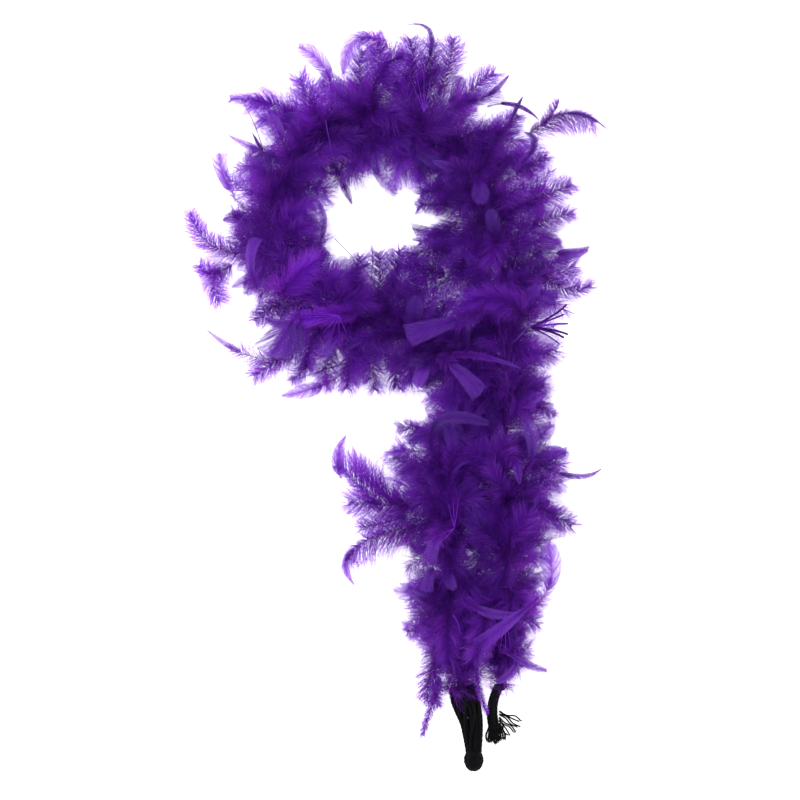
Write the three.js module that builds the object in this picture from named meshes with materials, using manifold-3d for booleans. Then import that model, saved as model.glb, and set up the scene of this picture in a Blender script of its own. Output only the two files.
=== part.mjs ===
// Feather boa: a twisted yarn cord with plumes of dyed feathers tied round it, lying folded on a table.
// The cord runs up one strand of the stem, round an open loop, and down the other strand beside the first.
// One end is folded back into a knot, the other is cut and frayed. Millimetres, +Z up, the table at z = 0,
// +Y along the stem towards the loop, and the origin under the middle of the object.

import * as THREE from 'three';
import { mergeVertices } from 'three/addons/utils/BufferGeometryUtils.js';
import Module from 'manifold-3d';

const wasm = await Module();
wasm.setup();

// ---- Driving dimensions -------------------------------------------------------------------------

const CORD_DIAMETER = 9; // twisted yarn core under the feathers
const CORD_HEIGHT = 34; // core axis above the table, where the feathers hold it up
const PLUME_REACH = 58; // core axis to the feather tips, where a plume stands free
const PLUME_PITCH = 42; // spacing of the tied plumes along the core
const FEATHERS_PER_PLUME = 6;
const FEATHER_WIDTH = 32; // at the widest part of one feather's fluff
const FEATHER_THICKNESS = 5.5; // depth of that fluff, at the quill
const BINDING_LENGTH = 9; // thread binding that holds one plume's quills
const BINDING_WALL = 3;
const BINDING_CLEARANCE = 1.6; // bore to the core, which bends inside it
const PLUME_GAP = 0.6; // between two plumes that stand against each other
const END_ROOM = 4; // from the last plume to the core's end, clear of the bare yarn
const WHIPPING_LENGTH = 7; // thread whipping where the feathers stop
const WHIPPING_WALL = 2;
const WHIPPING_CROWN = 0.6; // how much thicker its middle turns are
const FOLD_ANGLE = 45; // how far the loop or a tail lifts before its plumes crowd, degrees
const BUNDLE_WIDTH = 25; // yarn folded back at the looped end
const BUNDLE_HEIGHT = 17;
const KNOT_WIDTH = 23;
const KNOT_LENGTH = 29;
const KNOT_HEIGHT = 19;
const TASSEL_WIDTH = 15; // loose yarn at the cut end
const TASSEL_HEIGHT = 12;
const YARN_DIAMETER = 2.8; // one frayed yarn
const YARN_GAP = 0.8; // between two yarns where they start
const END_GAP = 0.5; // between pieces that meet end to end

// ---- Derived sizes ------------------------------------------------------------------------------

const CORD_RADIUS = CORD_DIAMETER / 2;
const BORE_RADIUS = CORD_RADIUS + BINDING_CLEARANCE;
const BINDING_RADIUS = BORE_RADIUS + BINDING_WALL;
const CORE_SAMPLING = 14; // spacing of the points that a stretch of core is drawn through
const HALF_FOLD = THREE.MathUtils.degToRad(FOLD_ANGLE / 2);
const CUT_BOX = 1000; // side of the block that stands for everything beyond a flat cut
const GOLDEN_TURN = Math.PI * (3 - Math.sqrt(5)); // turns each plume away from the one before

// ---- The way the boa lies -----------------------------------------------------------------------

// Fold lines run along X at these places, and the pieces on either side turn about them.
const LOOP_FOLD_Y = -29;
const TAIL_FOLD_Y = -197;
const TAIL_DIVIDE_X = 104; // the two tails keep to their own side of this plane

// Core points from the looped end to the cut end: x, y, and how far the plumes there stand out
// to the left and to the right of the way the cord runs, as shares of the plume reach.
const ROUTE = [
  [76, -349, 0.85, 0.6],
  [71, -287, 1.0, 0.7],
  [64, -227, 1.1, 0.7],
  [59, -167, 1.5, 0.7],
  [58, -119, 1.6, 0.7],
  [64, -71, 1.15, 0.8],
  [81, -29, 0.8, 0.7],
  [86, 7, 0.8, 0.7],
  [71, 47, 1.0, 1.0],
  [38, 73, 1.2, 1.0],
  [-10, 88, 1.3, 1.0],
  [-64, 102, 1.2, 0.9],
  [-112, 133, 1.1, 0.9],
  [-142, 181, 1.1, 0.95],
  [-146, 235, 1.1, 0.95],
  [-128, 283, 1.0, 1.0],
  [-88, 317, 1.1, 1.0],
  [-34, 332, 1.35, 1.0],
  [20, 325, 1.7, 1.0],
  [68, 301, 1.3, 1.0],
  [104, 259, 1.35, 1.1],
  [118, 205, 1.45, 1.4],
  [122, 145, 1.4, 1.2],
  [125, 85, 1.2, 1.0],
  [131, 25, 0.9, 0.8],
  [128, -23, 0.9, 0.8],
  [125, -71, 1.1, 0.8],
  [131, -131, 1.25, 0.9],
  [131, -191, 1.0, 0.9],
  [129, -251, 0.85, 0.8],
  [127, -299, 0.8, 0.7],
  [121, -347, 0.6, 0.6],
];

// A few plumes carry one feather that stands well past the rest: the place of the plume and of the tip.
const LONG_FEATHERS = [
  { near: [104, 259], tip: [252, 316] },
  { near: [-146, 235], tip: [-254, 236] },
  { near: [20, 325], tip: [22, 449] },
];

// The yarn beyond the plumes sinks to the table: x, y, height of its middle.
const BUNDLE_PATH = [
  [77, -355, CORD_HEIGHT - 3],
  [80, -368, CORD_HEIGHT - 12],
  [84, -383, 13],
  [87, -402, 9],
  [88.5, -419, 9],
];
const TASSEL_PATH = [
  [121, -353, CORD_HEIGHT - 4],
  [120, -366, CORD_HEIGHT - 14],
  [119, -379, 11],
  [118, -396, 6.5],
];
const TASSEL_YARN_TIPS = [
  [110, -411],
  [115, -414],
  [120, -413],
  [126, -409],
];
const SIDE_YARN_TIPS = [
  [146, -387],
  [144, -394],
  [139, -400],
  [132, -404],
];

const UP = new THREE.Vector3(0, 0, 1);

const core = new THREE.CatmullRomCurve3(
  ROUTE.map(([x, y]) => new THREE.Vector3(x, y, CORD_HEIGHT)),
  false,
  'centripetal',
);
core.arcLengthDivisions = 1600;
const CORE_LENGTH = core.getLength();

// ---- Materials ----------------------------------------------------------------------------------

const feather = new THREE.MeshStandardMaterial({ color: 0x4f1e82, roughness: 0.85, metalness: 0 });
const yarn = new THREE.MeshStandardMaterial({ color: 0x0e0d13, roughness: 0.8, metalness: 0 });
const thread = new THREE.MeshStandardMaterial({ color: 0x17131f, roughness: 0.6, metalness: 0 });

// ---- Solids -------------------------------------------------------------------------------------

function toSolid(geometry) {
  const bare = geometry.index ? geometry.clone() : geometry;
  bare.deleteAttribute('normal');
  bare.deleteAttribute('uv');
  const merged = mergeVertices(bare, 1e-4);
  return new wasm.Manifold(new wasm.Mesh({
    numProp: 3,
    vertProperties: new Float32Array(merged.attributes.position.array),
    triVerts: new Uint32Array(merged.index.array),
  }));
}

function toGeometry(solid) {
  const mesh = solid.getMesh();
  const geometry = new THREE.BufferGeometry();
  geometry.setAttribute('position', new THREE.BufferAttribute(mesh.vertProperties, 3));
  geometry.setIndex(new THREE.BufferAttribute(mesh.triVerts, 1));
  geometry.computeVertexNormals();
  return geometry;
}

// Takes away everything beyond a plane through point, on the side that normal points to.
function cutBeyond(solid, point, normal) {
  const block = new THREE.BoxGeometry(CUT_BOX, CUT_BOX, CUT_BOX).translate(0, 0, CUT_BOX / 2);
  block.applyQuaternion(new THREE.Quaternion().setFromUnitVectors(UP, normal));
  block.translate(point.x, point.y, point.z);
  return solid.subtract(toSolid(block));
}

// Names a piece, puts its geometry round its own place, and sets it there in a group.
function addPiece(group, name, geometry, material, place) {
  const mesh = new THREE.Mesh(geometry, material);
  geometry.translate(-place.x, -place.y, -place.z);
  mesh.name = name;
  mesh.position.copy(place);
  group.add(mesh);
}

function ovalSection(width, height, sides) {
  const corners = [];
  for (let i = 0; i < sides; i += 1) {
    const turn = ((i + 0.5) / sides) * Math.PI * 2;
    corners.push(new THREE.Vector2(Math.cos(turn) * width / 2, Math.sin(turn) * height / 2));
  }
  return new THREE.Shape(corners);
}

function tube(path, section, steps) {
  return new THREE.ExtrudeGeometry(section, { steps, extrudePath: path, bevelEnabled: false });
}

function pathThrough(points) {
  return new THREE.CatmullRomCurve3(points.map((p) => new THREE.Vector3(...p)), false, 'centripetal');
}

// ---- Places along the core ----------------------------------------------------------------------

// Distance along the core at which it crosses a fold line, between two distances on either side of it.
function distanceAtFold(foldY, from, to) {
  let low = from;
  let high = to;
  const rising = core.getPointAt(from / CORE_LENGTH).y < foldY;
  for (let i = 0; i < 40; i += 1) {
    const middle = (low + high) / 2;
    const below = core.getPointAt(middle / CORE_LENGTH).y < foldY;
    if (below === rising) low = middle;
    else high = middle;
  }
  return low;
}

const STEM_HALF = 400; // more than one strand of the stem, less than the way to the loop's far side
const leftTailEnd = distanceAtFold(TAIL_FOLD_Y, 0, STEM_HALF);
const loopStart = distanceAtFold(LOOP_FOLD_Y, leftTailEnd, STEM_HALF);
const rightTailStart = distanceAtFold(TAIL_FOLD_Y, CORE_LENGTH - STEM_HALF, CORE_LENGTH);
const loopEnd = distanceAtFold(LOOP_FOLD_Y, CORE_LENGTH - STEM_HALF, rightTailStart);

// Stretches of core between the folds. The plumes at a stretch's ends lean the way its two leans say:
// 1 is along the cord, and -1 is back. They lean away from a fold, which leaves it room to close.
const STRETCHES = [
  { name: 'left_tail', from: 0, to: leftTailEnd, leans: [-1, -1] },
  { name: 'left_stem', from: leftTailEnd, to: loopStart, leans: [1, -1] },
  { name: 'loop', from: loopStart, to: loopEnd, leans: [1, -1] },
  { name: 'right_stem', from: loopEnd, to: rightTailStart, leans: [1, -1] },
  { name: 'right_tail', from: rightTailStart, to: CORE_LENGTH, leans: [1, 1] },
];

// The shares of reach to the left and right, read between the two nearest route points.
function spreadAt(point) {
  const near = ROUTE
    .map(([x, y, left, right]) => ({ left, right, away: Math.hypot(point.x - x, point.y - y) }))
    .sort((a, b) => a.away - b.away);
  const [first, second] = near;
  const share = first.away / (first.away + second.away);
  return {
    left: THREE.MathUtils.lerp(first.left, second.left, share),
    right: THREE.MathUtils.lerp(first.right, second.right, share),
  };
}

function placePlumes() {
  const plumes = [];
  for (const stretch of STRETCHES) {
    const count = Math.round((stretch.to - stretch.from) / PLUME_PITCH);
    for (let i = 0; i < count; i += 1) {
      const share = (i + 0.5) / count;
      const distance = THREE.MathUtils.lerp(stretch.from, stretch.to, share);
      const centre = core.getPointAt(distance / CORE_LENGTH);
      const along = core.getTangentAt(distance / CORE_LENGTH);
      const lean = THREE.MathUtils.lerp(stretch.leans[0], stretch.leans[1], count > 1 ? i / (count - 1) : 0);
      plumes.push({ stretch: stretch.name, centre, along, lean, turn: plumes.length * GOLDEN_TURN });
    }
  }
  return plumes;
}

const PLUMES = placePlumes();

// ---- Plumes -------------------------------------------------------------------------------------

const FEATHER_STEPS = 2;
const WIDTH_SHARES = [0.15, 1, 0.3]; // of the feather width, from quill to tip
const THICKNESS_SHARES = [0.9, 1, 0.5];
const LEAN_SHARE = 0.26; // a leaning feather's tip moves along the cord by this share of its reach
const FEATHER_TWIST = THREE.MathUtils.degToRad(50); // shows its flat side along the cord and from above

// One feather: a strip from the binding out to its tip, wide in the middle, bowing along the cord.
function featherSolid(centre, along, outward, reach, lean) {
  const strip = new THREE.BoxGeometry(1, 1, 1, FEATHER_STEPS, 1, 1).translate(0.5, 0, 0);
  const across = new THREE.Vector3().crossVectors(along, outward).normalize();
  const start = BORE_RADIUS + BINDING_WALL / 2;
  const corners = strip.attributes.position;
  for (let i = 0; i < corners.count; i += 1) {
    const step = Math.round(corners.getX(i) * FEATHER_STEPS);
    const share = step / FEATHER_STEPS;
    const side = corners.getY(i) * FEATHER_WIDTH * WIDTH_SHARES[step];
    const depth = corners.getZ(i) * FEATHER_THICKNESS * THICKNESS_SHARES[step];
    const corner = centre.clone()
      .addScaledVector(outward, start + (reach - start) * share)
      .addScaledVector(across, side * Math.cos(FEATHER_TWIST) - depth * Math.sin(FEATHER_TWIST))
      .addScaledVector(along, side * Math.sin(FEATHER_TWIST) + depth * Math.cos(FEATHER_TWIST))
      .addScaledVector(along, lean * LEAN_SHARE * reach * share * share);
    corners.setXYZ(i, corner.x, corner.y, corner.z);
  }
  return toSolid(strip);
}

// A ring round the core, closed, with its flats facing the way that flat points.
function ringGeometry(profile, sides, centre, along, flat) {
  const corners = profile.map(([r, z]) => new THREE.Vector2(r / Math.cos(Math.PI / sides), z));
  corners.push(corners[0].clone());
  const ring = new THREE.LatheGeometry(corners, sides).rotateX(Math.PI / 2);
  ring.rotateZ(Math.PI / 2 + Math.PI / sides);
  const across = new THREE.Vector3().crossVectors(along, flat);
  ring.applyMatrix4(new THREE.Matrix4().makeBasis(flat, across, along).setPosition(centre));
  return ring;
}

function bindingSolid(centre, along, flat) {
  const half = BINDING_LENGTH / 2;
  const profile = [
    [BORE_RADIUS, -half],
    [BINDING_RADIUS, -half],
    [BINDING_RADIUS, half],
    [BORE_RADIUS, half],
  ];
  return toSolid(ringGeometry(profile, FEATHERS_PER_PLUME, centre, along, flat));
}

// The flat cuts that keep a plume to its own space: the table, its neighbours, the folds and the ends.
function cutsAround(plume) {
  const cuts = [{ point: new THREE.Vector3(), normal: UP.clone().negate() }];
  for (const other of PLUMES) {
    const way = other.centre.clone().sub(plume.centre);
    const apart = way.length();
    if (other !== plume && apart < 4 * PLUME_REACH) {
      const normal = way.normalize();
      const point = plume.centre.clone().addScaledVector(normal, (apart - PLUME_GAP) / 2);
      cuts.push({ point, normal });
    }
  }
  for (const foldY of [LOOP_FOLD_Y, TAIL_FOLD_Y]) {
    const side = Math.sign(foldY - plume.centre.y);
    const point = new THREE.Vector3(plume.centre.x, foldY - side * PLUME_GAP / 2, CORD_HEIGHT);
    cuts.push({ point, normal: new THREE.Vector3(0, side, 0) });
    cuts.push({ point, normal: new THREE.Vector3(0, side * Math.cos(HALF_FOLD), Math.sin(HALF_FOLD)) });
  }
  for (const end of [0, 1]) {
    const outward = core.getTangentAt(end).multiplyScalar(end === 0 ? -1 : 1);
    const point = core.getPointAt(end).addScaledVector(outward, -END_ROOM);
    if (plume.stretch === (end === 0 ? 'left_tail' : 'right_tail')) cuts.push({ point, normal: outward });
  }
  if (plume.stretch.endsWith('tail')) {
    const side = Math.sign(TAIL_DIVIDE_X - plume.centre.x);
    const point = new THREE.Vector3(TAIL_DIVIDE_X - side * PLUME_GAP / 2, plume.centre.y, 0);
    cuts.push({ point, normal: new THREE.Vector3(side, 0, 0) });
  }
  return cuts;
}

// How far a feather may reach before its middle line meets one of the cuts.
function freeReach(centre, outward, wanted, cuts) {
  let reach = wanted;
  for (const { point, normal } of cuts) {
    const rate = outward.dot(normal);
    const room = point.clone().sub(centre).dot(normal);
    if (rate > 1e-6) reach = Math.min(reach, room / rate);
  }
  return reach;
}

function longFeatherOf(plume) {
  return LONG_FEATHERS.find(({ near }) => {
    const away = (other) => Math.hypot(other.centre.x - near[0], other.centre.y - near[1]);
    return PLUMES.every((other) => away(plume) <= away(other));
  });
}

function plumeGeometry(plume) {
  const { centre, along, lean } = plume;
  const cuts = cutsAround(plume);
  const sideways = new THREE.Vector3().crossVectors(UP, along).normalize();
  const spread = spreadAt(centre);
  const outwardAt = (turn) => (
    sideways.clone().multiplyScalar(Math.cos(turn)).addScaledVector(UP, Math.sin(turn))
  );
  let solid = bindingSolid(centre, along, outwardAt(plume.turn));
  for (let i = 0; i < FEATHERS_PER_PLUME; i += 1) {
    const turn = plume.turn + (i / FEATHERS_PER_PLUME) * Math.PI * 2;
    const outward = outwardAt(turn);
    const side = Math.cos(turn) > 0 ? spread.left : spread.right;
    const wanted = PLUME_REACH * THREE.MathUtils.lerp(1, side, Math.cos(turn) ** 2);
    const reach = freeReach(centre, outward, wanted, cuts);
    solid = solid.add(featherSolid(centre, along, outward, reach, lean));
  }
  const long = longFeatherOf(plume);
  if (long) {
    const outward = new THREE.Vector3(long.tip[0] - centre.x, long.tip[1] - centre.y, 0);
    const reach = outward.length();
    outward.normalize();
    solid = solid.add(featherSolid(centre, UP.clone().cross(outward), outward, reach, 0));
  }
  for (const { point, normal } of cuts) {
    solid = cutBeyond(solid, point, normal);
  }
  return toGeometry(solid);
}

// ---- Cord ---------------------------------------------------------------------------------------

// The part of the core between two distances, as a curve of its own.
function coreStretch(from, to) {
  const points = [];
  const count = Math.max(4, Math.round((to - from) / CORE_SAMPLING));
  for (let i = 0; i <= count; i += 1) {
    points.push(core.getPointAt((from + ((to - from) * i) / count) / CORE_LENGTH));
  }
  return new THREE.CatmullRomCurve3(points, false, 'centripetal');
}

const FOLD_CLEARANCE = CORD_RADIUS * Math.tan(HALF_FOLD) + 2 * END_GAP; // lets two cord ends tip together
const CORD_STEP = 2.6 * CORD_DIAMETER;

function cordGeometry(stretch) {
  const from = stretch.from === 0 ? 0 : stretch.from + FOLD_CLEARANCE;
  const to = stretch.to === CORE_LENGTH ? CORE_LENGTH : stretch.to - FOLD_CLEARANCE;
  const steps = Math.round((to - from) / CORD_STEP);
  return tube(coreStretch(from, to), ovalSection(CORD_DIAMETER, CORD_DIAMETER, 8), steps);
}

function whippingGeometry(centre, along) {
  const half = WHIPPING_LENGTH / 2;
  const outer = BORE_RADIUS + WHIPPING_WALL;
  const profile = [
    [BORE_RADIUS, -half],
    [outer, -half],
    [outer + WHIPPING_CROWN, 0],
    [outer, half],
    [BORE_RADIUS, half],
  ];
  const flat = new THREE.Vector3().crossVectors(UP, along).normalize();
  return ringGeometry(profile, 10, centre, along, flat);
}

// ---- Ends ---------------------------------------------------------------------------------------

function yarnGeometry(points) {
  return tube(pathThrough(points), ovalSection(YARN_DIAMETER, YARN_DIAMETER, 6), 4);
}

const [bundleX, bundleY] = BUNDLE_PATH[BUNDLE_PATH.length - 1];
const KNOT_PRESS = 1; // how much its weight flattens it against the table
const KNOT_TURN = THREE.MathUtils.degToRad(6);
const KNOT_CENTRE = new THREE.Vector3(
  bundleX + 2.5,
  bundleY - END_GAP - KNOT_LENGTH / 2,
  KNOT_HEIGHT / 2 - KNOT_PRESS,
);

function knotGeometry() {
  const knot = new THREE.SphereGeometry(0.5, 12, 8).scale(KNOT_WIDTH, KNOT_LENGTH, KNOT_HEIGHT);
  knot.rotateZ(KNOT_TURN);
  knot.translate(KNOT_CENTRE.x, KNOT_CENTRE.y, KNOT_CENTRE.z);
  return toGeometry(cutBeyond(toSolid(knot), new THREE.Vector3(), UP.clone().negate()));
}

// ---- Assembly -----------------------------------------------------------------------------------

const boa = new THREE.Group();
boa.name = 'feather_boa';
const groups = new Map(STRETCHES.map(({ name }) => [name, new THREE.Group()]));
groups.set('looped_end', new THREE.Group());
groups.set('cut_end', new THREE.Group());
for (const group of groups.values()) boa.add(group);

for (const stretch of STRETCHES) {
  const middle = core.getPointAt((stretch.from + stretch.to) / 2 / CORE_LENGTH);
  addPiece(groups.get(stretch.name), `core_cord_${stretch.name}`, cordGeometry(stretch), yarn, middle);
}

PLUMES.forEach((plume, i) => {
  const name = `plume_${String(i + 1).padStart(2, '0')}`;
  addPiece(groups.get(plume.stretch), name, plumeGeometry(plume), feather, plume.centre);
});

const whippingAt = WHIPPING_LENGTH / 2;
for (const [name, distance] of [['left_tail', whippingAt], ['right_tail', CORE_LENGTH - whippingAt]]) {
  const centre = core.getPointAt(distance / CORE_LENGTH);
  const along = core.getTangentAt(distance / CORE_LENGTH);
  addPiece(groups.get(name), `end_whipping_${name}`, whippingGeometry(centre, along), thread, centre);
}

const bundle = tube(pathThrough(BUNDLE_PATH), ovalSection(BUNDLE_WIDTH, BUNDLE_HEIGHT, 10), 8);
addPiece(groups.get('looped_end'), 'folded_yarn_bundle', bundle, yarn, new THREE.Vector3(...BUNDLE_PATH[2]));
addPiece(groups.get('looped_end'), 'end_knot', knotGeometry(), yarn, KNOT_CENTRE);

const tassel = tube(pathThrough(TASSEL_PATH), ovalSection(TASSEL_WIDTH, TASSEL_HEIGHT, 10), 6);
addPiece(groups.get('cut_end'), 'tassel_yarn_bundle', tassel, yarn, new THREE.Vector3(...TASSEL_PATH[2]));

const [tasselX, tasselY] = TASSEL_PATH[TASSEL_PATH.length - 1];
const YARN_REST = YARN_DIAMETER / 2 + 0.2; // a loose tip's middle, just clear of the table
const YARN_STEP = YARN_DIAMETER + YARN_GAP;
const TIP_BEND = 6; // from the tassel to where a frayed tip turns towards its own end
TASSEL_YARN_TIPS.forEach(([x, y], i) => {
  const startX = tasselX + (i - (TASSEL_YARN_TIPS.length - 1) / 2) * YARN_STEP;
  const points = [
    [startX, tasselY - END_GAP, TASSEL_HEIGHT / 2],
    [THREE.MathUtils.lerp(startX, x, 0.4), tasselY - TIP_BEND, TASSEL_HEIGHT / 3],
    [x, y, YARN_REST],
  ];
  const place = new THREE.Vector3(x, y, 0);
  addPiece(groups.get('cut_end'), `frayed_tip_${i + 1}`, yarnGeometry(points), yarn, place);
});

const [sideX, sideY, sideZ] = TASSEL_PATH[2];
SIDE_YARN_TIPS.forEach(([x, y], i) => {
  const startX = sideX + TASSEL_WIDTH / 2 + 2 * END_GAP;
  const startY = sideY + YARN_DIAMETER - i * YARN_STEP;
  const points = [
    [startX, startY, sideZ],
    [THREE.MathUtils.lerp(startX, x, 0.45), THREE.MathUtils.lerp(startY, y, 0.35), sideZ / 2],
    [x, y, YARN_REST],
  ];
  const place = new THREE.Vector3(x, y, 0);
  addPiece(groups.get('cut_end'), `side_yarn_${i + 1}`, yarnGeometry(points), yarn, place);
});

export default boa;
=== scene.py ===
# %% [markdown]
# # A feather boa around its CAD frame
#
# A boa is one long twisted cord of black yarn with hundreds of dyed feathers tied to it by their quills.
# Here it lies on a table: up one strand, round an open loop, and back down beside the first strand.
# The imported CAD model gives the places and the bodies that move. Everything that shows is built here as
# real geometry, barb by barb, because fluff that is only a texture looks like felt.

# %% Load the frame
import math

import bpy
import numpy as np
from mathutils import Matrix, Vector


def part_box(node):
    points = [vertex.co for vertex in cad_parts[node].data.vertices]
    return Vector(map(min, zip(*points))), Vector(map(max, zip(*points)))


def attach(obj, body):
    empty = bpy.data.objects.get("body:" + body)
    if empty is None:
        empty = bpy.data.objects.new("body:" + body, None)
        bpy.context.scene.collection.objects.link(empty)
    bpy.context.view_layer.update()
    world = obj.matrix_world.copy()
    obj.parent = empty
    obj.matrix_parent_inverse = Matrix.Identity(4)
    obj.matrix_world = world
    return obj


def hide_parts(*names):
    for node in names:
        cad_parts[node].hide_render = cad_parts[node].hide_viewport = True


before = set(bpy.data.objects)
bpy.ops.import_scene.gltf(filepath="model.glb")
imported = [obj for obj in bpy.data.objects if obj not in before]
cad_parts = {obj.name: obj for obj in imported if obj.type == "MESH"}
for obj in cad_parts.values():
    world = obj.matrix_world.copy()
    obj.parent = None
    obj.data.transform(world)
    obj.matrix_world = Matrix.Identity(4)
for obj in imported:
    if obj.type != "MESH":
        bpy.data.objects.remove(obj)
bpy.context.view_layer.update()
print("nodes:", len(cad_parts))

# %% [markdown]
# ## Camera, table and light
#
# The boa lies flat and is looked at from straight above, from far enough away that the near feathers
# don't grow. The table is a light box: a pale surface that glows a little, so that it stays clean under
# the boa and the thin feather edges are lit from behind. One wide lamp above does the rest.

# %% Camera from above
MM = 0.001
CAMERA_HEIGHT = 3.0
CAMERA_ASIDE = (0.0018, 0.0012)
CORD_HEIGHT = 34 * MM
VIEW_WIDTH = 0.96  # metres seen across the boa, at the height of its cord
SENSOR_WIDTH = 36.0

camera = bpy.data.objects.new("camera", bpy.data.cameras.new("camera"))
camera.location = (*CAMERA_ASIDE, CAMERA_HEIGHT)
camera.data.sensor_width = SENSOR_WIDTH
camera.data.lens = SENSOR_WIDTH * (CAMERA_HEIGHT - CORD_HEIGHT) / VIEW_WIDTH
bpy.context.scene.collection.objects.link(camera)
bpy.context.scene.camera = camera
print("lens:", round(camera.data.lens, 1), "mm")

# %% Helper to make a node material
def new_material(name):
    """A material without nodes, and a function that adds a node to it."""
    material = bpy.data.materials.new(name)
    material.use_nodes = True
    tree = material.node_tree
    tree.nodes.clear()

    def add(kind, sockets):
        """A node with some sockets set to a value, or linked to another node or one of its outputs."""
        node = tree.nodes.new("ShaderNode" + kind)
        for socket, value in sockets.items():
            if isinstance(value, bpy.types.Node):
                value = value.outputs[0]
            if isinstance(value, bpy.types.NodeSocket):
                tree.links.new(value, node.inputs[socket])
            else:
                node.inputs[socket].default_value = value
        return node

    return material, add


# %% The light box table
TABLE_SIZE = 8.0
TABLE_GLOW = 0.9

table = bpy.data.objects.new("table", bpy.data.meshes.new("table"))
half = TABLE_SIZE / 2
corners = [(-half, -half, 0), (half, -half, 0), (half, half, 0), (-half, half, 0)]
table.data.from_pydata(corners, [], [(0, 1, 2, 3)])
bpy.context.scene.collection.objects.link(table)
table_material, add = new_material("pale_table")
glow = {"Emission Color": (1, 1, 1, 1), "Emission Strength": TABLE_GLOW}
paint = add("BsdfPrincipled", {"Base Color": (0.9, 0.9, 0.9, 1), "Roughness": 0.9, **glow})
add("OutputMaterial", {"Surface": paint})
table.data.materials.append(table_material)
print("table:", TABLE_SIZE, "m across, glow", TABLE_GLOW)

# %% Soft light
ROOM_LIGHT = 0.75
LAMP_POWER = 45
LAMP_TILT = math.radians(-22)

world = bpy.data.worlds.new("soft_room")
world.use_nodes = True
world.node_tree.nodes["Background"].inputs["Color"].default_value = (1, 1, 1, 1)
world.node_tree.nodes["Background"].inputs["Strength"].default_value = ROOM_LIGHT
bpy.context.scene.world = world

lamp = bpy.data.objects.new("soft_lamp", bpy.data.lights.new("soft_lamp", "AREA"))
lamp.data.shape = "SQUARE"
lamp.data.size = 1.6
lamp.data.energy = LAMP_POWER
lamp.location = (-0.9, 0.9, 2.2)
lamp.rotation_euler = (LAMP_TILT, LAMP_TILT, 0)
bpy.context.scene.collection.objects.link(lamp)
bpy.context.scene.view_settings.view_transform = "Standard"
print("lamp:", lamp.data.size, "m across at", tuple(lamp.location))

# %% [markdown]
# ## The route of the cord
#
# The cord's route is the same one that the CAD core follows: points down its middle, joined by a
# centripetal Catmull-Rom curve, which never loops or overshoots between points. Beside each point stand
# two shares that say how far the feathers spread to the left and to the right of the way the cord runs.

# %% Points down the cord, from the looped end to the cut end
# x and y in millimetres, and the spread to the left and to the right as shares of a usual feather
ROUTE = [
    (76, -349, 0.85, 0.6),
    (71, -287, 0.9, 0.7),
    (64, -227, 0.95, 0.7),
    (59, -167, 0.95, 0.7),
    (58, -119, 1.35, 0.7),
    (64, -71, 1.15, 0.8),
    (81, -29, 0.8, 0.7),
    (86, 7, 0.8, 0.7),
    (71, 47, 1.0, 1.0),
    (38, 73, 1.1, 1.0),
    (-10, 88, 1.2, 1.05),
    (-64, 102, 1.2, 0.9),
    (-112, 133, 1.1, 0.85),
    (-142, 181, 1.05, 0.85),
    (-146, 235, 1.1, 0.85),
    (-128, 283, 1.0, 0.9),
    (-88, 317, 1.1, 1.0),
    (-34, 332, 1.35, 1.1),
    (20, 325, 1.65, 1.15),
    (68, 301, 1.3, 1.0),
    (104, 259, 1.35, 1.2),
    (118, 205, 1.4, 1.55),
    (122, 145, 1.4, 1.2),
    (125, 85, 1.05, 1.0),
    (131, 25, 0.8, 0.8),
    (128, -23, 0.8, 0.8),
    (125, -71, 1.1, 0.8),
    (131, -131, 1.15, 0.9),
    (131, -191, 0.75, 0.9),
    (129, -251, 0.65, 0.8),
    (127, -299, 0.55, 0.7),
    (121, -347, 0.3, 0.45),
]


# %% A smooth line through points
ROUTE_PIECES = 40


def smooth_line(points, pieces=ROUTE_PIECES):
    """Points close together on the centripetal Catmull-Rom curve through these points."""
    points = np.array(points, float)
    padded = np.vstack([2 * points[0] - points[1], points, 2 * points[-1] - points[-2]])
    share = np.linspace(0, 1, pieces, endpoint=False)[:, None]
    line = []
    for before, start, end, after in zip(padded, padded[1:], padded[2:], padded[3:]):
        gap0, gap1, gap2 = (np.linalg.norm(gap) ** 0.5 for gap in (start - before, end - start, after - end))
        leave = (start - before) / gap0 - (end - before) / (gap0 + gap1) + (end - start) / gap1
        arrive = (end - start) / gap1 - (after - start) / (gap1 + gap2) + (after - end) / gap2
        leave, arrive = leave * gap1, arrive * gap1
        cubic = 2 * (start - end) + leave + arrive
        square = 3 * (end - start) - 2 * leave - arrive
        line.append(start + leave * share + square * share**2 + cubic * share**3)
    return np.vstack([*line, points[-1:]])


def distances(line):
    """How far along a line each of its points is."""
    return np.concatenate([[0], np.cumsum(np.linalg.norm(np.diff(line, axis=0), axis=1))])


def at_distance(line, along, where):
    """The points of a line at these distances along it."""
    return np.stack([np.interp(where, along, line[:, k]) for k in range(line.shape[1])], axis=-1)


core = smooth_line([(x * MM, y * MM, CORD_HEIGHT) for x, y, _, _ in ROUTE])
core_along = distances(core)
CORE_LENGTH = core_along[-1]
print("core length:", round(CORE_LENGTH, 4), "m")

# %% Stretches of cord between the folds
LOOP_FOLD_Y, TAIL_FOLD_Y = -0.029, -0.197
middle_of_core = len(core) // 2
rising = core[:middle_of_core, 1]
falling = core[middle_of_core:, 1]
fold_at = [
    core_along[np.argmax(rising > TAIL_FOLD_Y)],
    core_along[np.argmax(rising > LOOP_FOLD_Y)],
    core_along[middle_of_core + np.argmax(falling < LOOP_FOLD_Y)],
    core_along[middle_of_core + np.argmax(falling < TAIL_FOLD_Y)],
]
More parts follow.
